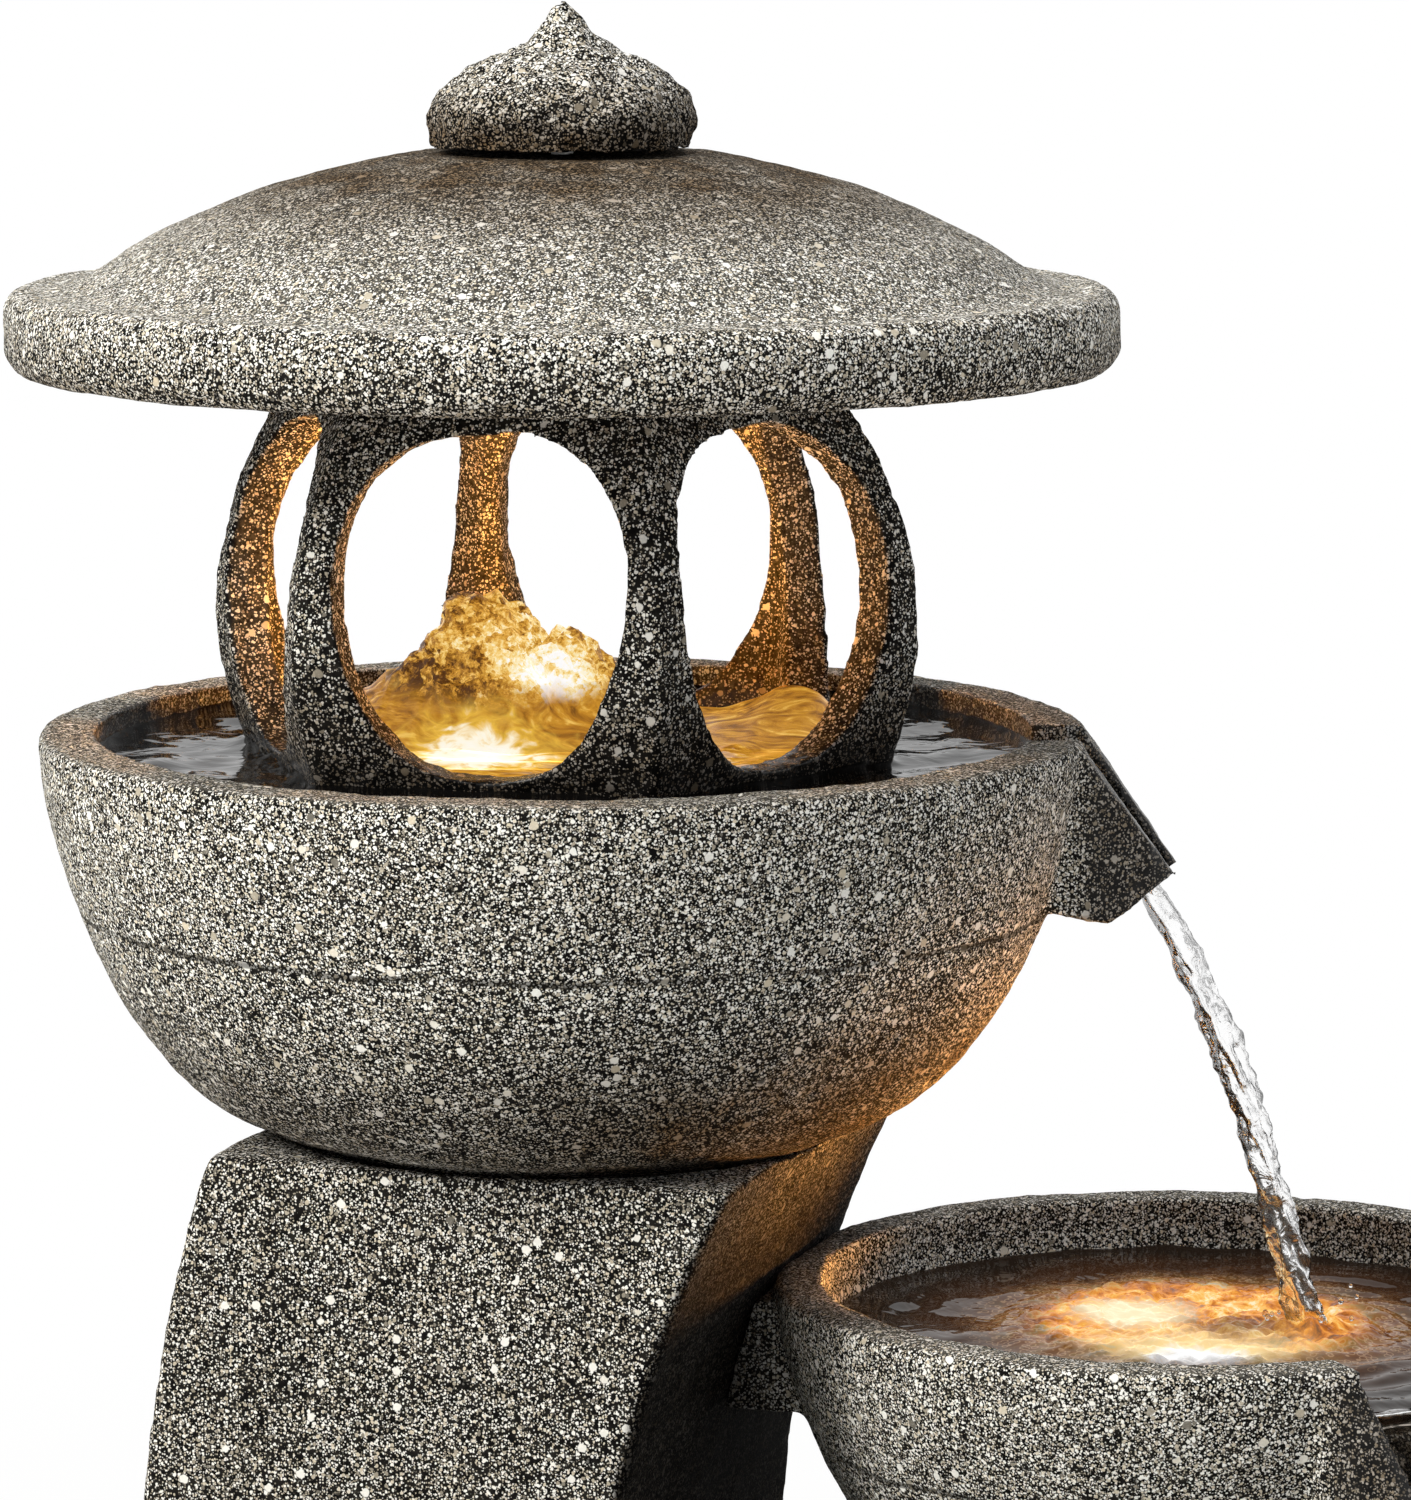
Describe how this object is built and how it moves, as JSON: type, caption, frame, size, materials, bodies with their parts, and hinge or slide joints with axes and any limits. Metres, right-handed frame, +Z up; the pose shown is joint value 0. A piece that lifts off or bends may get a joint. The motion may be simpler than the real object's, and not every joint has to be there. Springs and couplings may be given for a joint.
{
  "type": "cascading stone fountain",
  "caption": "Cascading garden fountain in speckled stone: a lit lantern stands in a spouted bowl that spills into a side bowl on a curved pillar, over a round basin with a hidden pump.",
  "frame": {"origin": "on the ground under the lantern's axis, at the level of the basin's flat underside", "axes": "+Z up, +X the way the water runs from the lantern bowl towards the side bowl, -Y the pillar's front face"},
  "size_m": [0.5045, 0.504, 0.65],
  "materials": {
    "stone": "cast and hand-tooled speckled stone, matt and pitted",
    "pump_plastic": "moulded black ABS, finely spark-eroded",
    "fitting_plastic": "moulded dark nylon",
    "nozzle_plastic": "moulded dark polypropylene",
    "dial_plastic": "moulded dark blue-grey plastic",
    "impeller_plastic": "moulded white acetal",
    "hose": "clear extruded vinyl",
    "rubber": "moulded black rubber",
    "lead_jacket": "extruded black rubber jacket",
    "stainless": "turned and pressed stainless steel",
    "brass": "turned brass",
    "ferrite": "sintered grey-black ferrite",
    "bush_ceramic": "ground white alumina",
    "light_metal": "turned stainless steel cup",
    "light_board": "white-coated aluminium board with warm light chips",
    "light_lens": "pressed clear glass, lit from below"
  },
  "bodies": {
    "root": {"base_basin": "stone", "pillar": "stone", "upper_bowl": "stone", "side_bowl": "stone", "side_bowl_plug": "rubber", "basin_cable_grommet": "rubber", "upper_bowl_bolts": "stainless", "upper_bowl_washers": "stainless", "upper_bowl_threaded_inserts": "brass", "side_bowl_bolts": "stainless", "side_bowl_washers": "stainless", "side_bowl_threaded_inserts": "brass", "pump_housing": "pump_plastic", "pump_intake_cover": "pump_plastic", "impeller_shaft": "bush_ceramic", "shaft_bush": "rubber", "pump_outlet": "pump_plastic", "suction_feet": "rubber", "pump_lead_gland": "rubber", "pump_lead": "lead_jacket", "riser_hose": "hose", "hose_clamps": "stainless", "bulkhead_fitting": "fitting_plastic", "bulkhead_gasket": "rubber", "bulkhead_nut": "fitting_plastic", "bubbler_nozzle": "nozzle_plastic", "lantern_light_housing": "light_metal", "lantern_light_board": "light_board", "lantern_light_lens": "light_lens", "lantern_light_gland": "rubber", "lantern_light_lead": "lead_jacket", "side_light_housing": "light_metal", "side_light_board": "light_board", "side_light_lens": "light_lens", "side_light_gland": "rubber", "side_light_lead": "lead_jacket", "junction_box": "fitting_plastic", "junction_box_lid": "fitting_plastic", "junction_box_glands": "rubber"},
    "lantern": {"lantern_cage": "stone"},
    "roof": {"roof": "stone", "finial": "stone", "finial_stud": "stainless", "finial_washer": "stainless", "finial_nut": "stainless"},
    "access_door": {"access_door": "stone", "access_door_screws": "stainless"},
    "impeller": {"impeller": "impeller_plastic", "rotor_magnet": "ferrite"},
    "flow_dial": {"flow_dial": "dial_plastic"}
  },
  "joints": [
    {"name": "lantern_lift", "type": "slide", "parent": "root", "child": "lantern", "axis": [0, 0, 1], "range_m": [0, 0.09]},
    {"name": "roof_lift", "type": "slide", "parent": "lantern", "child": "roof", "axis": [0, 0, 1], "range_m": [0, 0.08]},
    {"name": "access_door_pull", "type": "slide", "parent": "root", "child": "access_door", "axis": [0, 1, 0], "range_m": [0, 0.06]},
    {"name": "impeller_spin", "type": "hinge", "parent": "root", "child": "impeller", "pos_m": [0.01, -0.02, 0.054], "axis": [0, 1, 0], "continuous": true},
    {"name": "flow_dial_turn", "type": "hinge", "parent": "root", "child": "flow_dial", "pos_m": [0.027, -0.055, 0.0355], "axis": [0, 1, 0], "range_deg": [0, 90]}
  ]
}
